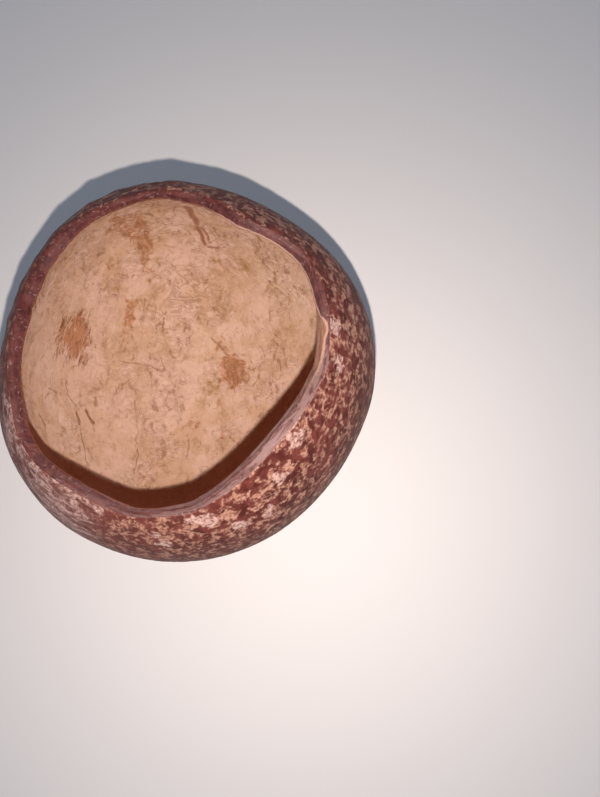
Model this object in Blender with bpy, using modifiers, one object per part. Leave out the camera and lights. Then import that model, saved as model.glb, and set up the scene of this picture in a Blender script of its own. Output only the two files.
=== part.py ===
# Coconut shell: the hard woody shell of one nut, sawn open on top and sanded flat where it rests.
# Metres, +Z up. The origin is the centre of the flat spot, which lies on the plane Z = 0.
# The nut's long axis runs nearly along Y, with the three closed eyes at its +Y end.

from math import cos, radians, sin

import bmesh
import bpy
from mathutils import Matrix, Vector

# Body of the nut, measured from its centre to its outer face
NUT_RADIUS = 0.0575
WALL = 0.0039
FLAT_DEPTH = 0.00105

# How far the nut is from a ball, as shares of its radius
LENGTH_ALONG_Y = 0.013
SKEW_IN_PLAN = 0.009
LOW_HEIGHT = 0.043
DRAWN_IN_TOP = 0.025
THREE_LOBES = 0.022
FOUR_LOBES = 0.012
SHOULDER = 0.009

# Mesh of the nut
SEGMENTS = 56
RINGS = 30
OPEN_ABOVE = radians(52)

# Corners of the sawn mouth, seen from the nut's centre: turn about Z and height above level, in degrees
MOUTH_CORNERS = (
    (12, 37.8),
    (33, 36.5),
    (57, 43.5),
    (78, 40.5),
    (100, 38.5),
    (124, 38.0),
    (148, 38.8),
    (212, 38.0),
    (222, 37.3),
    (262, 37.0),
    (288, 38.2),
    (350, 38.9),
)
MOUTH_CUT_FROM = 0.6 * NUT_RADIUS
MOUTH_CUT_TO = 1.7 * NUT_RADIUS
MOUTH_CORNER_ROUNDING = 0.003
MOUTH_CORNER_STEPS = 3

# The three closed eyes, shallow round pits about one end of the nut's long axis
EYE_END_TILT = radians(-15)
EYE_COUNT = 3
EYE_SPREAD = radians(12)
EYE_RADIUS = 0.0042
EYE_DEPTH = 0.0012
EYE_BALL_SUBDIVISIONS = 4

# Colour and finish
SHELL_COLOUR = (0.135, 0.050, 0.036, 1.0)
SHELL_ROUGHNESS = 0.42
SHELL_METALLIC = 0.0


def clear_scene():
    for leftover in list(bpy.data.objects):
        bpy.data.objects.remove(leftover, do_unlink=True)


def new_collection(name):
    collection = bpy.data.collections.new(name)
    bpy.context.scene.collection.children.link(collection)
    return collection


def shell_material():
    material = bpy.data.materials.new("coconut_shell")
    material.use_nodes = True
    finish = material.node_tree.nodes["Principled BSDF"]
    finish.inputs["Base Color"].default_value = SHELL_COLOUR
    finish.inputs["Roughness"].default_value = SHELL_ROUGHNESS
    finish.inputs["Metallic"].default_value = SHELL_METALLIC
    return material


def toward(turn, height):
    """The direction at an angle about Z from +X and an angle above level."""
    return Vector((cos(height) * cos(turn), cos(height) * sin(turn), sin(height)))


def nut_radius(direction):
    """Distance from the nut's centre to its outer face: a slightly long, low, lobed ball."""
    x, y, z = direction.normalized()
    long_side = x * x - y * y
    three_fold = x**3 - 3 * x * y * y
    four_fold = 4 * x * y * (x * x - y * y)
    share = (
        1
        - LENGTH_ALONG_Y * long_side
        + SKEW_IN_PLAN * 2 * x * y
        - LOW_HEIGHT * (1.5 * z * z - 0.5)
        - DRAWN_IN_TOP * z**3
        + THREE_LOBES * three_fold
        + FOUR_LOBES * four_fold
        - SHOULDER * z * long_side
    )
    return NUT_RADIUS * share


NUT_CENTRE = Vector((0, 0, nut_radius(Vector((0, 0, -1))) - FLAT_DEPTH))


def new_object(name, mesh, collection):
    made = bpy.data.objects.new(name, mesh)
    collection.objects.link(made)
    made.location = NUT_CENTRE
    return made


def nut_wall(collection):
    """The open outer face of the nut, thickened inwards."""
    form = bmesh.new()
    bmesh.ops.create_uvsphere(form, u_segments=SEGMENTS, v_segments=RINGS, radius=1.0)
    above = [corner for corner in form.verts if corner.co.z > sin(OPEN_ABOVE)]
    bmesh.ops.delete(form, geom=above, context="VERTS")
    for corner in form.verts:
        corner.co = corner.co.normalized() * nut_radius(corner.co)
    mesh = bpy.data.meshes.new("coconut_shell")
    form.to_mesh(mesh)
    form.free()
    mesh.materials.append(shell_material())
    shell = new_object("coconut_shell", mesh, collection)
    wall = shell.modifiers.new("wall", "SOLIDIFY")
    wall.thickness = WALL
    wall.offset = -1.0
    wall.use_even_offset = True
    return shell


def mouth_cutter(collection):
    """A star of flat saw cuts that all aim at the nut's centre, with its corners rounded."""
    form = bmesh.new()
    ring = bmesh.ops.create_circle(form, cap_ends=True, radius=1.0, segments=len(MOUTH_CORNERS))
    for corner, (turn, height) in zip(ring["verts"], MOUTH_CORNERS):
        corner.co = toward(radians(turn), radians(height)) * MOUTH_CUT_FROM
    base_edges = set(form.edges)
    grown = bmesh.ops.extrude_face_region(form, geom=list(form.faces))
    top = [part for part in grown["geom"] if isinstance(part, bmesh.types.BMVert)]
    bmesh.ops.scale(form, vec=Vector((1, 1, 1)) * (MOUTH_CUT_TO / MOUTH_CUT_FROM), verts=top)
    top_edges = {part for part in grown["geom"] if isinstance(part, bmesh.types.BMEdge)}
    side_edges = [edge for edge in form.edges if edge not in base_edges and edge not in top_edges]
    bmesh.ops.bevel(
        form,
        geom=side_edges,
        offset=MOUTH_CORNER_ROUNDING,
        offset_type="OFFSET",
        affect="EDGES",
        segments=MOUTH_CORNER_STEPS,
        profile=0.5,
        material=-1,
    )
    bmesh.ops.recalc_face_normals(form, faces=form.faces)
    mesh = bpy.data.meshes.new("mouth_cutter")
    form.to_mesh(mesh)
    form.free()
    return new_object("mouth_cutter", mesh, collection)


def flat_cutter(collection):
    """A block whose top is the plane Z = 0, for the sanded flat spot."""
    side = 2 * NUT_RADIUS
    form = bmesh.new()
    bmesh.ops.create_cube(form, size=side)
    bmesh.ops.translate(form, vec=-NUT_CENTRE - Vector((0, 0, side / 2)), verts=form.verts)
    mesh = bpy.data.meshes.new("flat_cutter")
    form.to_mesh(mesh)
    form.free()
    return new_object("flat_cutter", mesh, collection)


def eye_cutter(number, collection):
    """A ball that leaves one shallow round pit beside the eye end of the long axis."""
    end = toward(radians(90), EYE_END_TILT)
    tipped = Matrix.Rotation(EYE_SPREAD, 3, "X") @ end
    around = radians(360) * number / EYE_COUNT
    direction = Matrix.Rotation(around, 3, end) @ tipped
    ball_radius = (EYE_RADIUS**2 + EYE_DEPTH**2) / (2 * EYE_DEPTH)
    form = bmesh.new()
    bmesh.ops.create_icosphere(form, subdivisions=EYE_BALL_SUBDIVISIONS, radius=ball_radius)
    middle = direction * (nut_radius(direction) + ball_radius - EYE_DEPTH)
    bmesh.ops.translate(form, vec=middle, verts=form.verts)
    mesh = bpy.data.meshes.new(f"eye_cutter_{number + 1}")
    form.to_mesh(mesh)
    form.free()
    return new_object(mesh.name, mesh, collection)


def cut(shell, cutter):
    cutter.hide_render = True
    cutter.display_type = "WIRE"
    step = shell.modifiers.new(cutter.name, "BOOLEAN")
    step.operation = "DIFFERENCE"
    step.solver = "EXACT"
    step.object = cutter


clear_scene()
parts = new_collection("coconut shell")
cutters = new_collection("cutters")
coconut_shell = nut_wall(parts)
cut(coconut_shell, mouth_cutter(cutters))
cut(coconut_shell, flat_cutter(cutters))
for eye in range(EYE_COUNT):
    cut(coconut_shell, eye_cutter(eye, cutters))
coconut_shell.data.shade_smooth()
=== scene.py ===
from math import acos, atan2, cos, degrees, exp, hypot, pi, radians, sin, tan

import bmesh
import bpy
from mathutils import Matrix, Vector, noise


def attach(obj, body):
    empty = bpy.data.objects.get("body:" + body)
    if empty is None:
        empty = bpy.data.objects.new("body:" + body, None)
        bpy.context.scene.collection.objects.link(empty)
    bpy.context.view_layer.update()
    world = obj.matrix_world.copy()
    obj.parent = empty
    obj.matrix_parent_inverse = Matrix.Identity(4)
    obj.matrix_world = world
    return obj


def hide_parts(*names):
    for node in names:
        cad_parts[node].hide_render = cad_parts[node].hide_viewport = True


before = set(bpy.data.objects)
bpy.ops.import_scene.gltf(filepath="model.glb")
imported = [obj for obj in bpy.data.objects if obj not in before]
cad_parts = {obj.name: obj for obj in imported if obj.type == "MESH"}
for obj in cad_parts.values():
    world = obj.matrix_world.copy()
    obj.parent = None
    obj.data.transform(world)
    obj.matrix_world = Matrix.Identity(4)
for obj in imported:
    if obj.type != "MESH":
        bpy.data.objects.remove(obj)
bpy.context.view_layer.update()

# The grown wall of the nut
# Hard dark wood, grown in one piece as a slightly long, low ball with three faint lobes round its middle.
# It is whole from the sawn mouth down to the small flat spot sanded under it.
MM = 0.001
NUT_RADIUS = 57.5 * MM
WALL = 3.9 * MM
FLAT_DEPTH = 1.05 * MM

# How far the nut is from a ball, as shares of its radius
LENGTH_ALONG_Y = 0.013
SKEW_IN_PLAN = 0.009
LOW_HEIGHT = 0.043
DRAWN_IN_TOP = 0.025
THREE_LOBES = 0.022
FOUR_LOBES = 0.012
SHOULDER = 0.009


def toward(turn, height):
    """The direction at an angle about Z from +X and an angle above level."""
    return Vector((cos(height) * cos(turn), cos(height) * sin(turn), sin(height)))


def nut_radius(direction):
    """Distance from the nut's centre to its outer face."""
    x, y, z = direction
    long_side = x * x - y * y
    three_fold = x**3 - 3 * x * y * y
    four_fold = 4 * x * y * long_side
    share = (
        1
        - LENGTH_ALONG_Y * long_side
        + SKEW_IN_PLAN * 2 * x * y
        - LOW_HEIGHT * (1.5 * z * z - 0.5)
        - DRAWN_IN_TOP * z**3
        + THREE_LOBES * three_fold
        + FOUR_LOBES * four_fold
        - SHOULDER * z * long_side
    )
    return NUT_RADIUS * share


NUT_CENTRE = Vector((0, 0, nut_radius(Vector((0, 0, -1))) - FLAT_DEPTH))

# Rings of the mesh up the outer face, over the rim and down the inner face, and spokes round it
OUTER_RINGS = 138
RIM_RINGS = 16
INNER_RINGS = 118
SPOKES = 360
FORM_WALL = 0.07
FORM_MOUTH = radians(39)
SAME_PLACE = 1e-5


def bowl_form():
    """A plain round bowl of radius 1. One line goes up its outer face, over its rim and down its inner face,
    and is then swept round. Each corner keeps its number along that line in the layer "place"."""
    form = bmesh.new()
    place = form.verts.layers.float.new("place")
    foot = form.verts.new((0, 0, -1))
    sweep = radians(90) + FORM_MOUTH
    up = bmesh.ops.spin(form, geom=[foot], axis=(0, -1, 0), angle=sweep, steps=OUTER_RINGS)
    middle = toward(0, FORM_MOUTH) * (1 - FORM_WALL / 2)
    top = up["geom_last"]
    over = bmesh.ops.spin(form, geom=top, cent=middle, axis=(0, -1, 0), angle=pi, steps=RIM_RINGS)
    bmesh.ops.spin(form, geom=over["geom_last"], axis=(0, 1, 0), angle=sweep, steps=INNER_RINGS)
    for number, corner in enumerate(form.verts):
        corner[place] = number
    line = list(form.verts) + list(form.edges)
    bmesh.ops.spin(form, geom=line, axis=(0, 0, 1), angle=2 * pi, steps=SPOKES, use_merge=True)
    bmesh.ops.remove_doubles(form, verts=form.verts, dist=SAME_PLACE)
    bmesh.ops.recalc_face_normals(form, faces=form.faces)
    return form


# The sawn mouth
# The top was sawn off by hand in short straight cuts, so the mouth is a wavy ring with corners. The wall
# shows there at its own thickness, with a chamfer at each arris where the blade and a scraper went over it.

# Corners between the cuts on the outer arris, seen from the nut's centre: turn about Z and height above
# level, in degrees
SAW_CORNERS = (
    (12, 37.4),
    (33, 35.8),
    (42, 38.8),
    (59, 44.7),
    (66, 43.3),
    (77, 40.8),
    (85, 41.6),
    (96, 40.1),
    (106, 41.9),
    (120, 41.2),
    (134, 38.6),
    (149, 38.0),
    (154, 40.2),
    (163, 39.7),
    (170, 43.0),
    (190, 42.3),
    (213, 38.4),
    (224, 38.0),
    (240, 39.8),
    (262, 37.4),
    (282, 37.5),
    (303, 41.0),
    (323, 42.3),
    (340, 40.3),
    (352, 38.3),
)
CORNER_WORN_OVER = 1.3

# Turn in degrees, then in millimetres the wall at the mouth and the drop of its outer and inner chamfers
RIM_CUTS = (
    (0, 4.3, 1.3, 0.5),
    (30, 4.0, 0.5, 0.8),
    (50, 3.3, 0.2, 0.3),
    (72, 3.6, 0.2, 0.2),
    (92, 2.8, 0.2, 1.2),
    (118, 3.1, 0.3, 0.8),
    (140, 4.1, 0.7, 0.2),
    (160, 4.2, 0.8, 0.2),
    (182, 3.5, 0.2, 0.5),
    (215, 3.6, 0.2, 0.4),
    (250, 3.8, 0.3, 0.3),
    (268, 3.3, 0.3, 0.3),
    (285, 4.1, 0.6, 0.2),
    (310, 4.3, 1.6, 0.2),
    (345, 4.4, 1.6, 0.3),
)
CHAMFER_SHARE = 0.4
MOUTH_WALL_REACHES = radians(25)

# Rounding of the two arrises in millimetres, and the chips that make it deeper here and there
OUTER_ROUNDING = 0.4
INNER_ROUNDING = 0.3
CHIP_LENGTH = 2.4
CHIP_FROM = 0.12
CHIP_SIZE = 4.5
INNER_CHIP_SIZE = 1.2
OUTER_ARRIS = 1
INNER_ARRIS = 2
CHIPS_APART = 10
MOST_CHIPPED = ((20, 0.5), (60, 1.0), (165, 1.0), (195, 0.5), (225, 0.35), (300, 0.35))


def smooth(value):
    """0 below 0, 1 above 1, and a smooth step between."""
    value = min(max(value, 0.0), 1.0)
    return value * value * (3 - 2 * value)


def neighbours(table, turn):
    """The rows of a table before and after a turn in degrees, and the turn's share of the way between."""
    after = next((number for number, row in enumerate(table) if row[0] > turn), 0)
    before, following = table[after - 1], table[after]
    span = (following[0] - before[0]) % 360
    return before, following, ((turn - before[0]) % 360) / span


def keyed(table, turn):
    """A table's value at a turn in degrees, smooth between its rows."""
    before, following, share = neighbours(table, turn % 360)
    return before[1] + (following[1] - before[1]) * smooth(share)


def straight_cut(turn):
    """Height of the outer arris at a turn in degrees: each cut is a plane through the nut's centre."""
    before, following, share = neighbours(SAW_CORNERS, turn % 360)
    span = radians((following[0] - before[0]) % 360)
    start = tan(radians(before[1])) * sin(span * (1 - share))
    end = tan(radians(following[1])) * sin(span * share)
    return atan2(start + end, sin(span))


def rim_at(turn):
    """The outer arris's height in radians, then the wall and both chamfers in millimetres, at a turn in
    degrees."""
    worn = (straight_cut(turn + aside * CORNER_WORN_OVER) for aside in (-1, 0, 0, 1))
    before, following, share = neighbours(RIM_CUTS, turn % 360)
    cuts = [was + (will - was) * smooth(share) for was, will in zip(before[1:], following[1:])]
    return (sum(worn) / 4, *cuts)


def chip(turn, arris):
    """How much deeper than its rounding an arris is chipped, in millimetres."""
    round_mouth = toward(radians(turn), 0) * (NUT_RADIUS / MM / CHIP_LENGTH)
    round_mouth.z = arris * CHIPS_APART
    size = CHIP_SIZE if arris == OUTER_ARRIS else INNER_CHIP_SIZE
    return keyed(MOST_CHIPPED, turn) * size * max(0.0, noise.noise(round_mouth) - CHIP_FROM)


def rounded(distance, rounding):
    """Where a point at a distance from an arris goes when it is rounded: along its own face, and across."""
    if distance >= rounding:
        return distance, 0.0
    angle = pi / 4 * (1 - distance / rounding)
    return rounding * (1 - sin(angle)), rounding * (1 - cos(angle))


# The outer face
# Bare hard wood with streaks from the husk's fibres, three low ribs and three closed eyes, all as it grew.
# The nut's long axis runs nearly along Y, with the eyes at its +Y end, low on the side.
EYE_END = toward(radians(90), radians(-15))
EYE_ACROSS = Vector((1, 0, 0))
EYE_UP = EYE_END.cross(EYE_ACROSS)
EYE_COUNT = 3
EYE_SPREAD = radians(12)
# In millimetres
EYE_RADIUS = 4.2
EYE_DEPTH = 1.2
EYE_LIP = 0.35
EYE_LIP_WIDTH = 0.9
# Shares of the eye's radius where its floor ends, that its wall takes up and where its lip is
EYE_FLOOR_REACH = 0.62
EYE_WALL = 0.45
EYE_LIP_AT = 1.12
# The least distance from the long axis, so that nothing is divided by zero at its ends
ON_THE_AXIS = 1e-6


def fibre_place(direction):
    """Millimetres round and along the nut's long axis, on a tube, so that streaks run from end to end."""
    ahead = min(max(direction.dot(EYE_END), -1.0), 1.0)
    across, up = direction.dot(EYE_ACROSS), direction.dot(EYE_UP)
    off_axis = max(hypot(across, up), ON_THE_AXIS)
    return Vector((across / off_axis, up / off_axis, acos(ahead))) * (NUT_RADIUS / MM)


def eye_places():
    tipped = Matrix.Rotation(EYE_SPREAD, 3, "X") @ EYE_END
    turns = [2 * pi * number / EYE_COUNT for number in range(EYE_COUNT)]
    return [Matrix.Rotation(turn, 3, EYE_END) @ tipped for turn in turns]


EYES = eye_places()


def eye_share(direction):
    """1 on the floor of an eye, 0 outside its lip, and the height of its pit and lip in millimetres."""
    away = min(direction.angle(eye) for eye in EYES) * NUT_RADIUS / MM
    pit = 1 - smooth((away - EYE_RADIUS * EYE_FLOOR_REACH) / (EYE_RADIUS * EYE_WALL))
    lip = exp(-(((away - EYE_RADIUS * EYE_LIP_AT) / EYE_LIP_WIDTH) ** 2))
    return pit, EYE_LIP * lip - EYE_DEPTH * pit


# How knobbly the outer face is by the mouth, by turn in degrees
KNOBBLY = ((30, 0.2), (60, 0.6), (95, 1.0), (165, 1.0), (195, 0.5), (240, 0.1), (330, 0.1))
KNOB_HEIGHT = 0.75
KNOBS_TO_RADIUS = 12
KNOB_LEVEL = 0.1
# How far above the nut's centre the knobs start and over what height they grow, as shares of its radius
KNOBS_FROM = 0.30
KNOBS_GROW_OVER = 0.25


def knobs(direction):
    """Height of the knobs by the mouth, in millimetres."""
    turn = degrees(atan2(direction.y, direction.x))
    by_mouth = smooth((direction.z - KNOBS_FROM) / KNOBS_GROW_OVER)
    bump = max(0.0, noise.noise(direction * KNOBS_TO_RADIUS) + KNOB_LEVEL)
    return KNOB_HEIGHT * keyed(KNOBBLY, turn) * by_mouth * bump


# Heights in millimetres, and how fine each relief is: in features to the radius, or in millimetres
SWELL_HEIGHT = 0.30
SWELLS_TO_RADIUS = 3.4
STREAK_HEIGHT = 0.10
STREAK_WIDTH = 2.4
STREAK_LENGTH = 11
GRAIN_HEIGHT = 0.05
GRAINS_TO_RADIUS = 31
RIB_HEIGHT = 0.45
RIB_WIDTH = 4.0
FIRST_RIB = radians(30)
# Where the ribs rise and fade, as angles from the eye end in radians
RIB_RISES_FROM = 0.15
RIB_RISES_OVER = 0.3
RIB_FADES_FROM = 0.8
RIB_FADES_OVER = 1.0


def outer_relief(direction, fibre):
    """Height of the outer face over the nut's plain form, in millimetres."""
    swells = SWELL_HEIGHT * noise.noise(direction * SWELLS_TO_RADIUS)
    along_fibre = Vector((fibre.x / STREAK_WIDTH, fibre.y / STREAK_WIDTH, fibre.z / STREAK_LENGTH))
    streaks = STREAK_HEIGHT * noise.noise(along_fibre)
    grains = GRAIN_HEIGHT * noise.noise(direction * GRAINS_TO_RADIUS)
    off_end = fibre.z / (NUT_RADIUS / MM)
    spread = NUT_RADIUS / MM * sin(off_end)
    around = atan2(fibre.y, fibre.x)
    ribs = 0.0
    for number in range(EYE_COUNT):
        turned = (around - FIRST_RIB - 2 * pi * number / EYE_COUNT + pi) % (2 * pi) - pi
        ribs += exp(-((turned * spread / RIB_WIDTH) ** 2))
    ribs *= RIB_HEIGHT * smooth((off_end - RIB_RISES_FROM) / RIB_RISES_OVER)
    ribs *= 1 - smooth((off_end - RIB_FADES_FROM) / RIB_FADES_OVER)
    return swells + streaks + grains + ribs + knobs(direction) + eye_share(direction)[1]


# The inner face
# A smooth leathery skin that the meat grew against, with fine wrinkles along the nut and small pores.
INNER_SWELL_HEIGHT = 0.22
INNER_SWELLS_TO_RADIUS = 4.1
INNER_SWELL_SHIFT = Vector((7, 3, 1))
WRINKLE_HEIGHT = 0.13
WRINKLE_WIDTH = 3.1
WRINKLE_LENGTH = 6.5
WRINKLE_SHIFT = 20
PORE_HEIGHT = 0.05
PORES_TO_RADIUS = 26


def inner_relief(direction, fibre):
    """Height of the inner face over the plain wall, towards the hollow, in millimetres."""
    swells = INNER_SWELL_HEIGHT * noise.noise(direction * INNER_SWELLS_TO_RADIUS + INNER_SWELL_SHIFT)
    along_fibre = Vector((fibre.x / WRINKLE_WIDTH, fibre.y / WRINKLE_WIDTH, fibre.z / WRINKLE_LENGTH))
    along_fibre.z += WRINKLE_SHIFT
    wrinkles = WRINKLE_HEIGHT * (0.5 - abs(noise.noise(along_fibre)) * 2)
    pores = PORE_HEIGHT * noise.noise(direction * PORES_TO_RADIUS)
    return swells + wrinkles + pores


# Round the nut
# The husk was scraped and rubbed off unevenly, so each side of the nut differs, mostly by the mouth. Under
# the near rim the inner skin is also painted dark, partly as painted shadow.

# How much pale fleck covers the outer face and how much less there is at the rim, as shifts of the pattern's
# level by turn in degrees, and over how many millimetres
FLECK_COVER = (
    (10, -0.02),
    (60, 0.01),
    (100, 0.0),
    (200, -0.03),
    (225, -0.04),
    (262, -0.02),
    (320, -0.03),
)
FEWER_BY_RIM = ((20, 0.12), (200, 0.12), (250, 0.08), (280, 0.0), (345, 0.0))
FEWER_WITHIN = 1.5

# How far the outer face is rubbed to smooth purple-brown with grey patches, by turn in degrees, and from and
# over what height above level, in radians
RUBBED_AT = (
    (0, 0.1),
    (90, 0.2),
    (150, 0.3),
    (185, 0.5),
    (205, 0.85),
    (240, 1.0),
    (262, 0.3),
    (300, 0.0),
)
RUBBED_FROM = -0.9
RUBBED_OVER = 1.1

# Where the rim is rubbed paler, by turn in degrees, and how far that goes on outside it in millimetres
RIM_WORN_AT = (
    (20, 0.2),
    (50, 0.3),
    (70, 0.05),
    (180, 0.05),
    (215, 0.15),
    (250, 0.35),
    (285, 0.7),
    (320, 1.0),
    (350, 0.8),
)
WORN_WITHIN = 1.4

# Where the rim has a browner inner facet with a painted highlight along its edge, and its width in
# millimetres, by turn in degrees
LIP_AT = (
    (0, 0.8),
    (5, 1.0),
    (62, 0.9),
    (80, 0.1),
    (150, 0.0),
    (330, 0.0),
    (345, 0.3),
    (354, 0.65),
)
LIP_REACH = (
    (0, 3.1),
    (6, 3.6),
    (8, 3.3),
    (12, 1.4),
    (16, 0.5),
    (180, 0.4),
    (335, 2.3),
    (352, 2.8),
)

# Where the inner skin under the near rim is painted dark red-brown, by turn in degrees: partly a darker
# skin, and partly painted shadow that deepens the rim's cast shadow. The paint ends at a tilted ring along
# that shadow's edge, which lies this way from the nut's centre, at a share of its radius that varies with
# the turn.
STAIN_AND_SHADOW_UNDER_RIM_AT = ((16, 1.0), (30, 0.0), (188, 0.0), (200, 1.0), (345, 1.0))
SHADOW_EDGE_TOWARD = toward(radians(132), radians(-45))
SHADOW_EDGE_AT = (
    (0, 0.39),
    (12, 0.35),
    (25, 0.27),
    (205, 0.30),
    (215, 0.33),
    (238, 0.27),
    (256, 0.28),
    (275, 0.35),
    (300, 0.39),
    (330, 0.41),
)
# How far turns without the painted shadow are pushed outside its edge
OUTSIDE_PAINTED_SHADOW = 0.4

# Rings crowd towards the rim with a power over 1. The relief is lower at the rim and grows over so many
# millimetres, and the sanded spot has a soft border this deep.
OUTER_CROWDING = 1.2
INNER_CROWDING = 1.1
RELIEF_AT_RIM = 0.35
OUTER_RELIEF_OVER = 2.5
INNER_RELIEF_OVER = 3
SANDED_BORDER = 0.25


def shape_bowl(form):
    """Moves each corner of the plain bowl to its place on the nut, and writes what the patterns follow."""
    place = form.verts.layers.float["place"]
    rim_layer = form.verts.layers.float_vector.new("rim")
    eye_layer = form.verts.layers.float.new("eye")
    sanded_layer = form.verts.layers.float.new("sanded")
    cover_layer = form.verts.layers.float.new("cover")
    rubbed_layer = form.verts.layers.float.new("rubbed")
    worn_layer = form.verts.layers.float.new("worn")
    lip_layer = form.verts.layers.float.new("lip")
    lip_reach_layer = form.verts.layers.float.new("lip_reach")
    # Where the painted shadow under the near rim lies, partly a darker skin
    stain_and_shadow_layer = form.verts.layers.float.new("stain_and_shadow_under_rim")
    gap_layer = form.verts.layers.float.new("inner_gap")
    cuts = [rim_at(spoke * 360 / SPOKES) for spoke in range(SPOKES)]
    for corner in form.verts:
        number = corner[place]
        turn = atan2(corner.co.y, corner.co.x) % (2 * pi)
        arris, wall, outer_drop, inner_drop = cuts[round(degrees(turn) * SPOKES / 360) % SPOKES]
        knee = arris + outer_drop * MM / NUT_RADIUS
        inner_arris = knee - inner_drop * MM / NUT_RADIUS
        across_rim = 0.0
        if number <= OUTER_RINGS:
            share = 1 - (1 - number / OUTER_RINGS) ** OUTER_CROWDING
            height = share * (arris + pi / 2) - pi / 2
            direction = toward(turn, height)
            fibre = fibre_place(direction)
            distance = (arris - height) * NUT_RADIUS / MM
            rounding = OUTER_ROUNDING + chip(degrees(turn), OUTER_ARRIS)
            along, inward = rounded(distance, rounding)
            direction = toward(turn, arris - along * MM / NUT_RADIUS)
            radius = nut_radius(direction) - inward * MM
            shown = RELIEF_AT_RIM + (1 - RELIEF_AT_RIM) * smooth(distance / OUTER_RELIEF_OVER)
            radius += shown * outer_relief(direction, fibre) * MM
        elif number < OUTER_RINGS + RIM_RINGS:
            share = (number - OUTER_RINGS) / RIM_RINGS
            across_rim = share * wall
            outer_rounding = OUTER_ROUNDING + chip(degrees(turn), OUTER_ARRIS)
            inner_rounding = INNER_ROUNDING + chip(degrees(turn), INNER_ARRIS)
            from_outer, drop_outer = rounded(across_rim, outer_rounding)
            from_inner, drop_inner = rounded(wall - across_rim, inner_rounding)
            across = from_outer if across_rim < wall / 2 else wall - from_inner
            if share < CHAMFER_SHARE:
                height = arris + (knee - arris) * share / CHAMFER_SHARE
            else:
                height = knee + (inner_arris - knee) * (share - CHAMFER_SHARE) / (1 - CHAMFER_SHARE)
            height -= (drop_outer + drop_inner) * MM / NUT_RADIUS
            direction = toward(turn, height)
            shown = RELIEF_AT_RIM * (1 - share)
            relief = shown * outer_relief(direction, fibre_place(direction))
            radius = nut_radius(direction) - across * MM + relief * MM
        else:
            share = ((number - OUTER_RINGS - RIM_RINGS) / INNER_RINGS) ** INNER_CROWDING
            height = inner_arris - share * (inner_arris + pi / 2)
            direction = toward(turn, height)
            fibre = fibre_place(direction)
            distance = (inner_arris - height) * NUT_RADIUS / MM
            rounding = INNER_ROUNDING + chip(degrees(turn), INNER_ARRIS)
            along, inward = rounded(distance, rounding)
            direction = toward(turn, inner_arris - along * MM / NUT_RADIUS)
            reach = 1 - smooth((inner_arris - height) / MOUTH_WALL_REACHES)
            thickness = WALL / MM + (wall - WALL / MM) * reach
            radius = nut_radius(direction) - (thickness - inward) * MM
            radius -= smooth(distance / INNER_RELIEF_OVER) * inner_relief(direction, fibre) * MM
            across_rim = wall
        grown = NUT_CENTRE + direction * radius
        outside = number <= OUTER_RINGS
        corner[sanded_layer] = smooth(-grown.z / MM / SANDED_BORDER) if outside else 0.0
        corner[eye_layer] = eye_share(direction)[0] if outside else 0.0
        around = toward(turn, 0) * (NUT_RADIUS / MM)
        corner[rim_layer] = Vector((around.x, around.y, across_rim))
        from_rim = distance if outside else 0.0
        fewer = keyed(FEWER_BY_RIM, degrees(turn)) * exp(-from_rim / FEWER_WITHIN)
        corner[cover_layer] = keyed(FLECK_COVER, degrees(turn)) - fewer
        high_up = smooth((height - RUBBED_FROM) / RUBBED_OVER)
        corner[rubbed_layer] = keyed(RUBBED_AT, degrees(turn)) * high_up
        corner[worn_layer] = keyed(RIM_WORN_AT, degrees(turn)) * exp(-from_rim / WORN_WITHIN)
        corner[gap_layer] = wall - across_rim
        corner[lip_layer] = keyed(LIP_AT, degrees(turn))
        corner[lip_reach_layer] = keyed(LIP_REACH, degrees(turn))
        # How far inside the edge of the painted shadow under the rim a corner lies
        beyond_shadow_edge = keyed(SHADOW_EDGE_AT, degrees(turn)) - direction.dot(SHADOW_EDGE_TOWARD)
        corner[stain_and_shadow_layer] = beyond_shadow_edge - OUTSIDE_PAINTED_SHADOW * (1 - keyed(STAIN_AND_SHADOW_UNDER_RIM_AT, degrees(turn)))
        corner.co = Vector((grown.x, grown.y, max(grown.z, 0.0))) if outside else grown


# Finishes by face: outer skin, sawn rim, inner skin
OUTER, RIM, INNER = range(3)


def give_finishes(form):
    place = form.verts.layers.float["place"]
    for face in form.faces:
        number = sum(corner[place] for corner in face.verts) / len(face.verts)
        if number < OUTER_RINGS:
            face.material_index = OUTER
        elif number < OUTER_RINGS + RIM_RINGS:
            face.material_index = RIM
        else:
            face.material_index = INNER
        face.smooth = True


# Nodes for the finishes
def add(tree, kind, settings=(), **inputs):
    """Adds a shader node. Its inputs are given by name, or by number as _0, and those that are sockets are
    linked."""
    made = tree.nodes.new(kind)
    for name, value in dict(settings).items():
        setattr(made, name, value)
    for name, value in inputs.items():
        socket = made.inputs[int(name[1:])] if name[0] == "_" else made.inputs[name.replace("_", " ")]
        if isinstance(value, bpy.types.NodeSocket):
            tree.links.new(value, socket)
        else:
            socket.default_value = value
    return made


def new_finish(name):
    """A new material with its node tree and its shader."""
    material = bpy.data.materials.new(name)
    material.use_nodes = True
    tree = material.node_tree
    return material, tree, tree.nodes["Principled BSDF"]


def followed(tree, attribute, output="Fac"):
    """What shape_bowl wrote for each corner under this name."""
    return add(tree, "ShaderNodeAttribute", {"attribute_name": attribute}).outputs[output]


def vector_maths(tree, operation, *values):
    inputs = {f"_{number}": value for number, value in enumerate(values)}
    made = add(tree, "ShaderNodeVectorMath", {"operation": operation}, **inputs)
    return made.outputs["Value" if operation in ("DOT_PRODUCT", "DISTANCE") else "Vector"]


def from_centre(tree):
    """Where a point is from the nut's centre, in millimetres, and its direction from there."""
    place = add(tree, "ShaderNodeTexCoord").outputs["Object"]
    place = vector_maths(tree, "MULTIPLY_ADD", place, [1 / MM] * 3, -NUT_CENTRE / MM)
    return place, vector_maths(tree, "NORMALIZE", place)


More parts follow.
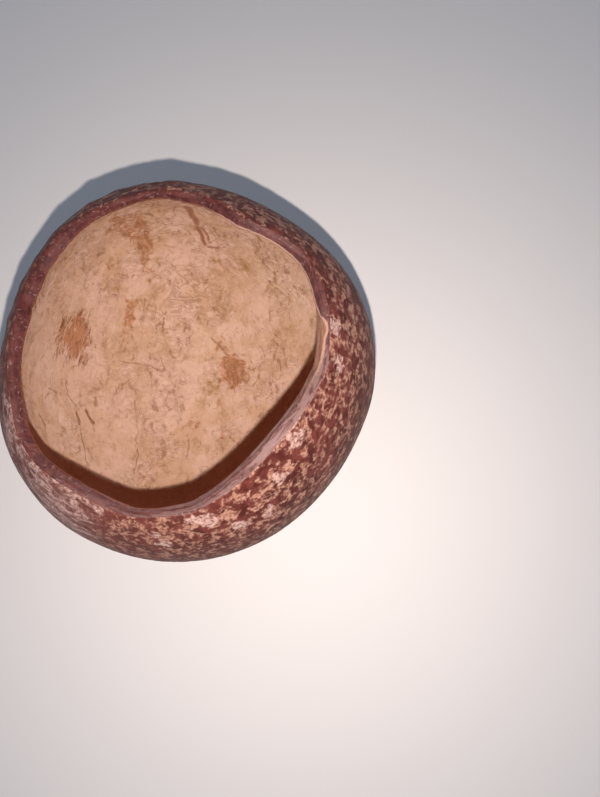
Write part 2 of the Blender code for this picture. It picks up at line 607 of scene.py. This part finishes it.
def grain(tree, vector, size, detail=2.0, roughness=0.5, distortion=0.0, shift=(0, 0, 0)):
    """Noise from 0 to 1 whose features have this size along X, Y and Z, in the vector's own unit."""
    vector = vector_maths(tree, "MULTIPLY_ADD", vector, [1 / one for one in size], shift)
    made = add(tree, "ShaderNodeTexNoise", Vector=vector, Scale=1.0)
    made.inputs["Detail"].default_value = detail
    made.inputs["Roughness"].default_value = roughness
    made.inputs["Distortion"].default_value = distortion
    return made.outputs["Fac"]


def step(tree, value, start, end, low=0.0, high=1.0):
    """A smooth step of a value, from low at start to high at end."""
    made = add(tree, "ShaderNodeMapRange", {"interpolation_type": "SMOOTHSTEP"}, Value=value)
    for socket, setting in zip(("From Min", "From Max", "To Min", "To Max"), (start, end, low, high)):
        made.inputs[socket].default_value = setting
    return made.outputs["Result"]


def maths(tree, operation, first, second=0.0, third=0.0):
    return add(tree, "ShaderNodeMath", {"operation": operation}, _0=first, _1=second, _2=third).outputs[0]


def times(tree, first, second):
    return maths(tree, "MULTIPLY", first, second)


def plus(tree, first, second):
    return maths(tree, "ADD", first, second)


def most(tree, first, second):
    """The larger of two values."""
    return maths(tree, "MAXIMUM", first, second)


def scaled(tree, value, factor, added):
    """A value times a factor, plus what is added."""
    return maths(tree, "MULTIPLY_ADD", value, factor, added)


def mixed(tree, share, under, over):
    """Two colours mixed, each a colour or a socket."""
    made = tree.nodes.new("ShaderNodeMix")
    made.data_type = "RGBA"
    for socket, value in zip((made.inputs["Factor"], made.inputs[6], made.inputs[7]), (share, under, over)):
        if isinstance(value, bpy.types.NodeSocket):
            tree.links.new(value, socket)
        elif isinstance(value, float):
            socket.default_value = value
        else:
            socket.default_value = (*value, 1)
    return made.outputs[2]


# Where a stroke starts to fade and where it ends, as shares of half its width and of half its length
STROKE_CORE = 0.4
STROKE_FRINGE = 1.6
STROKE_FADES_FROM = 0.75
STROKE_ENDS_AT = 1.08


def stroke(tree, direction, wander, start, end, width):
    """1 along a thin line across the nut and 0 beside it. Its ends are (turn, height) in degrees and its
    width is in millimetres."""
    first, last = (toward(*map(radians, place)) for place in (start, end))
    side = first.cross(last).normalized()
    middle = (first + last).normalized()
    along = (last - first).normalized()
    reach = (last - first).length / 2
    half_width = width / 2 * MM / NUT_RADIUS
    aside = vector_maths(tree, "DOT_PRODUCT", direction, side)
    aside = maths(tree, "ABSOLUTE", plus(tree, aside, wander))
    ahead = vector_maths(tree, "DOT_PRODUCT", direction, along)
    ahead = maths(tree, "ABSOLUTE", maths(tree, "SUBTRACT", ahead, middle.dot(along)))
    line = step(tree, aside, half_width * STROKE_CORE, half_width * STROKE_FRINGE, 1.0, 0.0)
    length = step(tree, ahead, reach * STROKE_FADES_FROM, reach * STROKE_ENDS_AT, 1.0, 0.0)
    return times(tree, line, length)


def strokes(tree, direction, wander, lines):
    """The strongest of several strokes, each (start, end, width, strength)."""
    strongest = 0.0
    for start, end, width, strength in lines:
        one = times(tree, stroke(tree, direction, wander, start, end, width), strength)
        strongest = most(tree, one, strongest)
    return strongest


def stains(tree, direction, spots):
    """Soft round spots, each ((turn, height) in degrees, radius in millimetres, strength)."""
    strongest = 0.0
    for place, radius, strength in spots:
        centre = toward(*map(radians, place))
        away = vector_maths(tree, "DISTANCE", direction, centre)
        one = step(tree, away, 0.0, radius * MM / NUT_RADIUS, strength, 0.0)
        strongest = most(tree, one, strongest)
    return strongest


def bumped(tree, height, depth):
    """The normal over a relief: its height from 0 to 1, its depth in millimetres."""
    return add(tree, "ShaderNodeBump", Height=height, Strength=1.0, Distance=depth * MM).outputs["Normal"]


def warped(tree, place, size, reach):
    """The direction of a place moved about by up to its reach in millimetres, for uneven outlines."""
    vector = vector_maths(tree, "MULTIPLY", place, [1 / one for one in size])
    pushes = add(tree, "ShaderNodeTexNoise", Vector=vector, Scale=1.0, Detail=3.0).outputs["Color"]
    pushes = vector_maths(tree, "SUBTRACT", pushes, (0.5, 0.5, 0.5))
    moved = vector_maths(tree, "MULTIPLY_ADD", pushes, [2 * reach] * 3, place)
    return vector_maths(tree, "NORMALIZE", moved)


RAGGEDNESS = 1.3


def ragged(tree, soft, texture, start, edge):
    """A soft spot's share, 1 inside and 0 outside an edge that a texture breaks up. A lower start is a wider
    spot."""
    return step(tree, scaled(tree, texture, RAGGEDNESS, soft), start, start + edge)


# The outer skin
# Scraped and rubbed dark maroon wood. Pale husk fibre is left in its pores as small bent flecks. Larger
# rubbed patches and long pale scratches lie near the mouth, on the side away from the eyes.
GROUND_DARK = (0.050, 0.010, 0.007)
GROUND_RED = (0.108, 0.027, 0.021)
GROUND_PURPLE = (0.140, 0.055, 0.046)
FLECK_TAN = (0.235, 0.102, 0.068)
FLECK_LIGHT = (0.34, 0.188, 0.140)
PATCH_GREY = (0.280, 0.160, 0.138)
PATCH_LIGHT = (0.40, 0.262, 0.228)
EYE_FLOOR = (0.20, 0.105, 0.060)
SANDED = (0.21, 0.095, 0.060)
OUTER_RELIEF_DEPTH = 0.16

# Start and end as (turn, height) in degrees, width in millimetres, strength
APEX_SCRATCHES = (
    ((-91.4, 35.8), (-83.3, 24.3), 0.7, 0.9),
    ((-96.4, 36.0), (-88.0, 27.0), 0.5, 0.7),
    ((-105.3, 31.1), (-99.0, 35.0), 0.9, 0.9),
    ((-104.0, 34.0), (-100.0, 26.0), 0.7, 0.8),
    ((-108.0, 27.0), (-97.0, 31.0), 0.6, 0.7),
    ((-98.0, 36.0), (-106.0, 29.0), 0.6, 0.7),
    ((-88.0, 33.0), (-76.0, 28.0), 0.5, 0.7),
    ((-81.0, 35.0), (-84.0, 26.0), 0.5, 0.5),
    ((-60.0, 34.0), (-52.0, 30.0), 0.5, 0.6),
)

# Middle as (turn, height) in degrees, radius in millimetres, strength
RUBBED_PATCHES = (
    ((-157.4, 38.0), 3.2, 0.9),
    ((-150.7, 33.0), 3.5, 0.9),
    ((-143.4, 34.4), 4.2, 1.0),
    ((-135.6, 35.5), 4.0, 1.0),
    ((-126.9, 33.5), 4.0, 0.9),
    ((-118.4, 35.0), 3.6, 0.9),
    ((-112.5, 32.1), 3.6, 0.8),
    ((-107.5, 36.0), 3.0, 0.7),
    ((-91.4, 31.2), 4.0, 0.9),
    ((-91.0, 25.9), 4.0, 0.9),
    ((-74.1, 34.0), 5.0, 1.2),
    ((-78.3, 35.6), 4.0, 1.0),
    ((-67.2, 26.7), 4.5, 0.9),
    ((-57.3, 24.1), 4.5, 0.8),
    ((-34.6, 37.0), 5.5, 0.9),
    ((-48.6, 32.8), 5.0, 0.8),
    ((6.7, 36.5), 4.0, 0.8),
    ((-4.9, 33.8), 3.6, 0.8),
)


def outer_skin():
    material, tree, finish = new_finish("outer skin")
    place, direction = from_centre(tree)
    rubbed = followed(tree, "rubbed")
    uneven = warped(tree, place, (5.0, 7.0, 5.0), 5.0)
    blobs = grain(tree, place, (2.3, 2.6, 2.3), 1.5, 0.5, 0.4)
    fine = grain(tree, place, (0.9, 1.1, 0.9), 2.0, 0.55, 0.4)
    drift = grain(tree, place, (7.0, 9.0, 7.0), 3.0, 0.6, 0.8, (9, 2, 5))
    cover = followed(tree, "cover")
    level = scaled(tree, drift, 0.4, plus(tree, blobs, cover))
    level = scaled(tree, fine, 0.45, level)
    flecks = step(tree, level, 0.83, 1.10)
    flecks = times(tree, flecks, scaled(tree, rubbed, -0.7, 1.0))
    wander = scaled(tree, grain(tree, direction, (0.07, 0.07, 0.07), 3.0), 0.08, -0.04)
    scratches = strokes(tree, direction, wander, APEX_SCRATCHES)
    scratches = times(tree, scratches, step(tree, fine, 0.36, 0.52, 0.3, 1.0))
    flecks = most(tree, flecks, scratches)
    tone = grain(tree, place, (3.4, 5.5, 3.4), 3.0, 0.6, 0.5, (1, 7, 3))
    ground = mixed(tree, step(tree, tone, 0.38, 0.62), GROUND_DARK, GROUND_RED)
    purple = times(tree, rubbed, step(tree, tone, 0.38, 0.55, 0.9, 0.3))
    ground = mixed(tree, purple, ground, GROUND_PURPLE)
    pale = mixed(tree, step(tree, fine, 0.36, 0.66), FLECK_TAN, FLECK_LIGHT)
    colour = mixed(tree, flecks, ground, pale)
    colour = mixed(tree, step(tree, fine, 0.28, 0.42, 0.45, 0.0), colour, GROUND_DARK)
    cloud = grain(tree, place, (6.5, 6.5, 2.8), 4.0, 0.66, 0.9, (4, 8, 1))
    anywhere = scaled(tree, rubbed, 0.45, 0.04)
    anywhere = most(tree, anywhere, times(tree, followed(tree, "worn"), 0.45))
    spots = most(tree, stains(tree, uneven, RUBBED_PATCHES), anywhere)
    patches = ragged(tree, spots, cloud, 0.99, 0.28)
    patches = times(tree, patches, step(tree, fine, 0.34, 0.50, 0.30, 1.0))
    patch_colour = mixed(tree, step(tree, fine, 0.42, 0.64), PATCH_GREY, PATCH_LIGHT)
    colour = mixed(tree, patches, colour, patch_colour)
    eye = times(tree, followed(tree, "eye"), step(tree, fine, 0.42, 0.56, 0.55, 1.0))
    colour = mixed(tree, eye, colour, EYE_FLOOR)
    sanded = times(tree, followed(tree, "sanded"), step(tree, fine, 0.35, 0.6, 0.4, 1.0))
    colour = mixed(tree, sanded, colour, SANDED)
    tree.links.new(colour, finish.inputs["Base Color"])
    finish.inputs["Specular IOR Level"].default_value = 0.10
    gloss = scaled(tree, flecks, 0.12, step(tree, fine, 0.3, 0.7, 0.50, 0.62))
    tree.links.new(gloss, finish.inputs["Roughness"])
    pits = scaled(tree, flecks, -0.6, scaled(tree, fine, 0.6, 0.4))
    tree.links.new(bumped(tree, pits, OUTER_RELIEF_DEPTH), finish.inputs["Normal"])
    return material


# The sawn rim
# Dense dark wood cut across, rubbed paler on the near side, with saw lines that run round the mouth. Its
# inner border is rusty. On the right it has a browner facet inside, with a painted highlight as a pale line
# where the two meet.
RIM_DARK = (0.040, 0.008, 0.008)
RIM_MAROON = (0.078, 0.017, 0.015)
RIM_WORN = (0.175, 0.106, 0.100)
RIM_SCUFF = (0.24, 0.150, 0.140)
RIM_RUST = (0.140, 0.040, 0.018)
# Painted highlight: the pale line along the edge between the inner facet and the cut face
RIM_PAINTED_HIGHLIGHT = (0.36, 0.215, 0.158)
RIM_FACET = (0.165, 0.076, 0.046)
RIM_FACET_PALE = (0.225, 0.120, 0.085)
RIM_RELIEF_DEPTH = 0.22


def sawn_rim():
    material, tree, finish = new_finish("sawn rim")
    place, direction = from_centre(tree)
    rim = followed(tree, "rim", "Vector")
    worn_share = followed(tree, "worn")
    left = followed(tree, "inner_gap")
    saw_lines = grain(tree, rim, (9.0, 9.0, 0.9), 4.0, 0.68, 0.6)
    mottle = grain(tree, place, (2.6, 2.6, 2.6), 5.0, 0.65, 0.6)
    colour = mixed(tree, step(tree, mottle, 0.38, 0.62), RIM_DARK, RIM_MAROON)
    worn = times(tree, worn_share, step(tree, saw_lines, 0.40, 0.56, 0.25, 1.0))
    worn = times(tree, worn, step(tree, mottle, 0.30, 0.50, 0.75, 1.0))
    colour = mixed(tree, worn, colour, RIM_WORN)
    scuffs = grain(tree, place, (1.6, 1.6, 1.6), 4.0, 0.65, 1.2, (5, 0, 2))
    colour = mixed(tree, step(tree, scuffs, 0.55, 0.70, 0.0, 0.5), colour, RIM_SCUFF)
    between = scaled(tree, mottle, 1.4, plus(tree, left, -2.6))
    between = maths(tree, "ABSOLUTE", between)
    between = times(tree, step(tree, between, 0.1, 0.45, 0.6, 0.0), worn_share)
    colour = mixed(tree, between, colour, RIM_MAROON)
    crumbs = grain(tree, place, (1.3, 1.3, 1.3), 3.0)
    broken = scaled(tree, crumbs, 1.1, plus(tree, left, -0.55))
    colour = mixed(tree, step(tree, broken, 0.25, 0.70, 0.8, 0.0), colour, RIM_RUST)
    lip_share = followed(tree, "lip")
    beyond_lip = maths(tree, "SUBTRACT", left, followed(tree, "lip_reach"))
    beyond_lip = scaled(tree, mottle, -0.8, plus(tree, beyond_lip, 0.4))
    facet = times(tree, step(tree, beyond_lip, -0.3, 0.1, 1.0, 0.0), lip_share)
    facet_colour = mixed(tree, step(tree, saw_lines, 0.40, 0.58), RIM_FACET, RIM_FACET_PALE)
    colour = mixed(tree, facet, colour, facet_colour)
    # Painted highlight as a pale line along the facet's edge
    lip = step(tree, maths(tree, "ABSOLUTE", beyond_lip), 0.10, 0.42, 0.85, 0.0)
    colour = mixed(tree, times(tree, lip, lip_share), colour, RIM_PAINTED_HIGHLIGHT)
    tree.links.new(colour, finish.inputs["Base Color"])
    finish.inputs["Specular IOR Level"].default_value = 0.14
    tree.links.new(step(tree, saw_lines, 0.3, 0.7, 0.50, 0.64), finish.inputs["Roughness"])
    relief = scaled(tree, saw_lines, 0.6, mottle)
    tree.links.new(bumped(tree, relief, RIM_RELIEF_DEPTH), finish.inputs["Normal"])
    return material


# The inner skin
# The tan, leathery face that the meat grew against, scraped clean. It has fine wrinkles, short dark strokes,
# thin veins, two cracks, rusty and olive stains, and one thick rusty tuft on the left.
TAN_OCHRE = (0.510, 0.330, 0.228)
TAN_PINK = (0.575, 0.392, 0.312)
TAN_PALE = (0.62, 0.450, 0.350)
TAN_DARK = (0.36, 0.215, 0.130)
STROKE_BROWN = (0.235, 0.115, 0.062)
STAIN_RUST = (0.360, 0.150, 0.062)
STAIN_OLIVE = (0.315, 0.185, 0.078)
CRACK_BROWN = (0.240, 0.085, 0.045)
TUFT_DARK = (0.165, 0.045, 0.014)
TUFT_RUST = (0.370, 0.150, 0.062)
# Painted shadow under the near rim, partly a darker red-brown skin
RED_BROWN_STAIN_AND_SHADOW = (0.330, 0.092, 0.040)
INNER_RELIEF_DEPTH = 0.30

# Start and end as (turn, height) in degrees, width in millimetres, strength
VEINS = (
    ((178.5, -18.6), (-169.7, -26.1), 0.6, 0.6),
    ((-169.7, -26.1), (-162.4, -27.1), 0.9, 0.9),
    ((-162.4, -27.1), (-145.0, -24.5), 0.4, 0.6),
    ((-170.7, -30.1), (-163.2, -33.7), 1.3, 1.0),
    ((-177.1, -34.8), (-171.7, -35.8), 1.0, 0.7),
    ((-177.1, -10.8), (-175.6, -16.2), 0.6, 0.6),
    ((-166.9, -5.7), (-162.0, -9.2), 0.9, 0.6),
    ((-165.2, -53.0), (-145.0, -48.3), 0.35, 0.5),
    ((-145.0, -48.3), (-131.8, -38.5), 0.5, 0.75),
    ((160.6, -42.4), (156.8, -52.2), 0.6, 0.5),
    ((156.8, -52.2), (154.4, -61.5), 0.8, 0.6),
    ((168.4, -49.1), (-177.2, -43.2), 0.6, 0.5),
    ((99.0, -61.2), (76.7, -69.3), 0.9, 0.6),
    ((67.9, -74.9), (26.6, -83.1), 0.5, 0.7),
    ((-124.9, -68.5), (-114.7, -59.4), 0.6, 0.6),
    ((152.9, 18.9), (160.2, 12.2), 0.9, 0.8),
)

CRACKS = (
    ((93.4, 6.5), (91.3, -8.5), 2.2, 0.8),
    ((92.6, -7.5), (90.7, -19.3), 1.4, 0.9),
    ((90.4, -8.0), (88.7, -16.5), 1.2, 0.7),
    ((90.7, -19.3), (85.5, -19.3), 1.2, 0.7),
)

# Stains drawn out in one direction, with the same values as the veins and cracks
RUST_STREAKS = (
    ((121.0, 8.0), (108.0, 1.0), 13.0, 0.52),
    ((114.0, 10.0), (113.0, -6.0), 11.0, 0.55),
    ((113.0, -5.0), (114.3, -15.5), 7.0, 0.65),
    ((114.3, -14.5), (118.0, -21.0), 4.5, 0.6),
    ((118.0, -20.0), (118.1, -29.0), 4.0, 0.5),
    ((130.0, -31.0), (145.5, -38.5), 5.0, 0.65),
    ((94.0, -63.5), (79.3, -70.5), 2.4, 0.5),
    ((80.0, -69.0), (33.0, -80.0), 11.0, 0.75),
    ((126.0, -11.0), (131.0, -17.0), 3.0, 0.35),
    ((-136.1, -72.0), (-128.0, -77.0), 3.4, 0.4),
    ((-80.5, -72.0), (-76.0, -78.0), 3.0, 0.4),
    ((-131.0, -37.0), (-128.0, -44.0), 3.0, 0.35),
)

# Middle as (turn, height) in degrees, radius in millimetres, strength
OLIVE_STAINS = (
    ((111.8, -22.5), 5.0, 0.6),
    ((128.6, -10.4), 6.0, 0.5),
    ((134.5, -22.5), 5.0, 0.6),
    ((128.7, 6.5), 5.0, 0.4),
    ((84.8, -12.8), 5.0, 0.6),
    ((74.3, -25.6), 7.0, 0.6),
    ((59.3, -32.5), 8.0, 0.6),
    ((45.0, -22.0), 7.0, 0.5),
    ((88.7, -26.4), 4.5, 0.7),
    ((140.6, -84.0), 12.0, 0.5),
    ((85.0, -45.0), 13.0, 0.55),
    ((40.0, -45.0), 12.0, 0.4),
)
SMOOTHER = (((165.0, -15.0), 40.0, 1.0), ((-160.0, -40.0), 30.0, 0.8))
CROSS_WRINKLED = (((105.0, -40.0), 26.0, 1.0), ((80.0, -25.0), 20.0, 0.7))
PALE_SIDE = (((45.0, -20.0), 34.0, 1.0), ((70.0, 0.0), 20.0, 0.7))
TUFT = (((160.5, -18.0), 15.0, 1.0), ((167.0, -25.0), 7.0, 0.5))


def inner_skin():
    material, tree, finish = new_finish("inner skin")
    place, direction = from_centre(tree)
    cloud = grain(tree, place, (13.0, 13.0, 13.0), 4.0, 0.6, 0.5)
    colour = mixed(tree, step(tree, cloud, 0.42, 0.58), TAN_OCHRE, TAN_PINK)
    colour = mixed(tree, times(tree, stains(tree, direction, PALE_SIDE), 0.8), colour, TAN_PALE)
    colour = mixed(tree, times(tree, stains(tree, direction, SMOOTHER), 0.7), colour, TAN_PINK)
    uneven = warped(tree, place, (5.0, 5.0, 5.0), 4.5)
    mottle = grain(tree, place, (5.0, 7.0, 5.0), 4.0, 0.65, 0.5, (1, 1, 6))
    colour = mixed(tree, step(tree, mottle, 0.30, 0.50, 0.35, 0.0), colour, TAN_DARK)
    knots = grain(tree, place, (2.8, 5.0, 5.0), 4.0, 0.66, 0.8, (8, 6, 2))
    crowded = grain(tree, place, (16.0, 16.0, 16.0), 2.0, 0.5, 0.0, (3, 9, 4))
    crowded = step(tree, crowded, 0.40, 0.58)
    fuzz = grain(tree, place, (2.8, 4.0, 3.4), 5.0, 0.72, 0.8, (2, 2, 2))
    rust = scaled(tree, fuzz, 2.2, strokes(tree, uneven, 0.0, RUST_STREAKS))
    rust = step(tree, rust, 1.22, 2.00)
    loose = step(tree, cloud, 0.30, 0.50, 0.30, 0.05)
    olive = scaled(tree, fuzz, 2.0, most(tree, stains(tree, uneven, OLIVE_STAINS), loose))
    olive = step(tree, olive, 1.14, 1.80)
    colour = mixed(tree, step(tree, knots, 0.44, 0.32, 0.0, 0.4), colour, TAN_PALE)
    colour = mixed(tree, times(tree, olive, 0.90), colour, STAIN_OLIVE)
    colour = mixed(tree, rust, colour, STAIN_RUST)
    bends = grain(tree, place, (6.4, 4.0, 5.2), 3.0, 0.55, 1.4, (5, 5, 5))
    ridges = maths(tree, "ABSOLUTE", plus(tree, bends, -0.5))
    cross = most(tree, stains(tree, uneven, CROSS_WRINKLED), scaled(tree, crowded, 0.5, 0.1))
    cross = most(tree, cross, times(tree, rust, 1.1))
    wrinkled = scaled(tree, stains(tree, uneven, SMOOTHER), -0.75, 1.0)
    cross = times(tree, cross, wrinkled)
    folds = times(tree, step(tree, ridges, 0.0, 0.11, 1.0, 0.0), cross)
    dark_knots = times(tree, step(tree, knots, 0.52, 0.66), scaled(tree, crowded, 0.6, 0.4))
    dark_knots = times(tree, dark_knots, wrinkled)
    colour = mixed(tree, times(tree, dark_knots, 0.74), colour, STROKE_BROWN)
    colour = mixed(tree, times(tree, folds, 0.55), colour, STROKE_BROWN)
    dashes = grain(tree, place, (2.2, 4.2, 3.0), 4.0, 0.64, 0.9)
    colour = mixed(tree, step(tree, dashes, 0.58, 0.72, 0.0, 0.5), colour, STROKE_BROWN)
    wander = scaled(tree, grain(tree, direction, (0.10, 0.10, 0.10), 4.0), 0.08, -0.04)
    veins = strokes(tree, direction, wander, VEINS)
    veins = times(tree, veins, step(tree, fuzz, 0.34, 0.54, 0.45, 1.0))
    colour = mixed(tree, veins, colour, STROKE_BROWN)
    cracks = strokes(tree, direction, times(tree, wander, 0.6), CRACKS)
    colour = mixed(tree, cracks, colour, CRACK_BROWN)
    strands = grain(tree, place, (2.2, 5.4, 2.2), 4.0, 0.68, 0.6, (6, 1, 4))
    tuft = scaled(tree, strands, 2.0, stains(tree, uneven, TUFT))
    tuft = step(tree, tuft, 1.20, 1.75)
    tuft_colour = mixed(tree, step(tree, strands, 0.50, 0.66), TUFT_RUST, TUFT_DARK)
    colour = mixed(tree, times(tree, tuft, 0.80), colour, tuft_colour)
    # Painted shadow under the near rim, partly a darker skin: it darkens the rim's cast shadow to red-brown
    stain_and_shadow_under_rim = step(tree, followed(tree, "stain_and_shadow_under_rim"), -0.005, 0.020, 0.0, 0.8)
    colour = mixed(tree, stain_and_shadow_under_rim, colour, RED_BROWN_STAIN_AND_SHADOW)
    tree.links.new(colour, finish.inputs["Base Color"])
    finish.inputs["Roughness"].default_value = 0.66
    finish.inputs["Specular IOR Level"].default_value = 0.3
    relief = scaled(tree, dashes, -0.5, times(tree, folds, -0.4))
    relief = scaled(tree, knots, -0.6, relief)
    relief = scaled(tree, most(tree, veins, cracks), -0.6, relief)
    relief = scaled(tree, times(tree, tuft, strands), 1.6, relief)
    relief = scaled(tree, fuzz, -0.5, relief)
    tree.links.new(bumped(tree, relief, INNER_RELIEF_DEPTH), finish.inputs["Normal"])
    return material


form = bowl_form()
shape_bowl(form)
give_finishes(form)
mesh = bpy.data.meshes.new("nut_shell")
form.to_mesh(mesh)
form.free()
mesh.materials.append(outer_skin())
mesh.materials.append(sawn_rim())
mesh.materials.append(inner_skin())
nut_shell = bpy.data.objects.new("nut_shell", mesh)
bpy.context.scene.collection.objects.link(nut_shell)
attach(nut_shell, "root")
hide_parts("coconut_shell")

# The floor
# A plain pale board that the shell stands on, painted matt and wide enough to fill every view.
FLOOR_SIDE = 6.0
FLOOR_COLOUR = (0.74, 0.72, 0.72)


def pale_board():
    material, tree, finish = new_finish("pale board")
    finish.inputs["Base Color"].default_value = (*FLOOR_COLOUR, 1)
    finish.inputs["Roughness"].default_value = 0.6
    return material


def pale_floor():
    form = bmesh.new()
    bmesh.ops.create_grid(form, x_segments=1, y_segments=1, size=FLOOR_SIDE / 2)
    mesh = bpy.data.meshes.new("floor")
    form.to_mesh(mesh)
    form.free()
    mesh.materials.append(pale_board())
    floor = bpy.data.objects.new("floor", mesh)
    bpy.context.scene.collection.objects.link(floor)
    return floor


pale_floor()

# The light
# A small warm lamp close above the bowl, beside the camera, as a phone's lamp is, and a soft cool fill from
# low all round.
LAMP_PLACE = Vector((43, -58, 240)) * MM
LAMP_AIM = Vector((10, 0, 0)) * MM
LAMP_SIZE = 3 * MM
LAMP_POWER = 0.68
LAMP_COLOUR = (1.0, 0.88, 0.79)
FILL_COLOUR = (0.71, 0.82, 1.0)
FILL_AT_HORIZON = 1.33
FILL_BELOW = 0.9

lamp_data = bpy.data.lights.new("lamp", "AREA")
lamp_data.shape = "DISK"
lamp_data.size = LAMP_SIZE
lamp_data.energy = LAMP_POWER
lamp_data.color = LAMP_COLOUR
lamp = bpy.data.objects.new("lamp", lamp_data)
lamp.location = LAMP_PLACE
lamp.rotation_euler = (LAMP_AIM - LAMP_PLACE).to_track_quat("-Z", "Y").to_euler()
bpy.context.scene.collection.objects.link(lamp)

world = bpy.data.worlds.new("soft fill")
world.use_nodes = True
sky = world.node_tree.nodes["Background"]
sky.inputs["Color"].default_value = (*FILL_COLOUR, 1)
looked_at = add(world.node_tree, "ShaderNodeTexCoord").outputs["Generated"]
height_looked_at = add(world.node_tree, "ShaderNodeSeparateXYZ", Vector=looked_at).outputs["Z"]
fill = step(world.node_tree, height_looked_at, 0.0, FILL_BELOW, FILL_AT_HORIZON, 0.0)
world.node_tree.links.new(fill, sky.inputs["Strength"])
bpy.context.scene.world = world
bpy.context.scene.view_settings.view_transform = "Standard"

# The camera
# Held close above the bowl and a little to its right and front, as a phone is, looking down past its side.
CAMERA_PLACE = Vector((43.4, -41.9, 245.0)) * MM
CAMERA_AIM = Vector((32.9, 1.3, 0.0)) * MM
CAMERA_LENS = 27.1

backward = (CAMERA_PLACE - CAMERA_AIM).normalized()
upward = backward.cross(Vector((1, 0, 0))).normalized()
rightward = upward.cross(backward)
camera_data = bpy.data.cameras.new("camera")
camera_data.lens = CAMERA_LENS
camera_data.clip_start = 10 * MM
camera = bpy.data.objects.new("camera", camera_data)
turned = Matrix((rightward, upward, backward)).transposed().to_4x4()
camera.matrix_world = Matrix.Translation(CAMERA_PLACE) @ turned
bpy.context.scene.collection.objects.link(camera)
bpy.context.scene.camera = camera
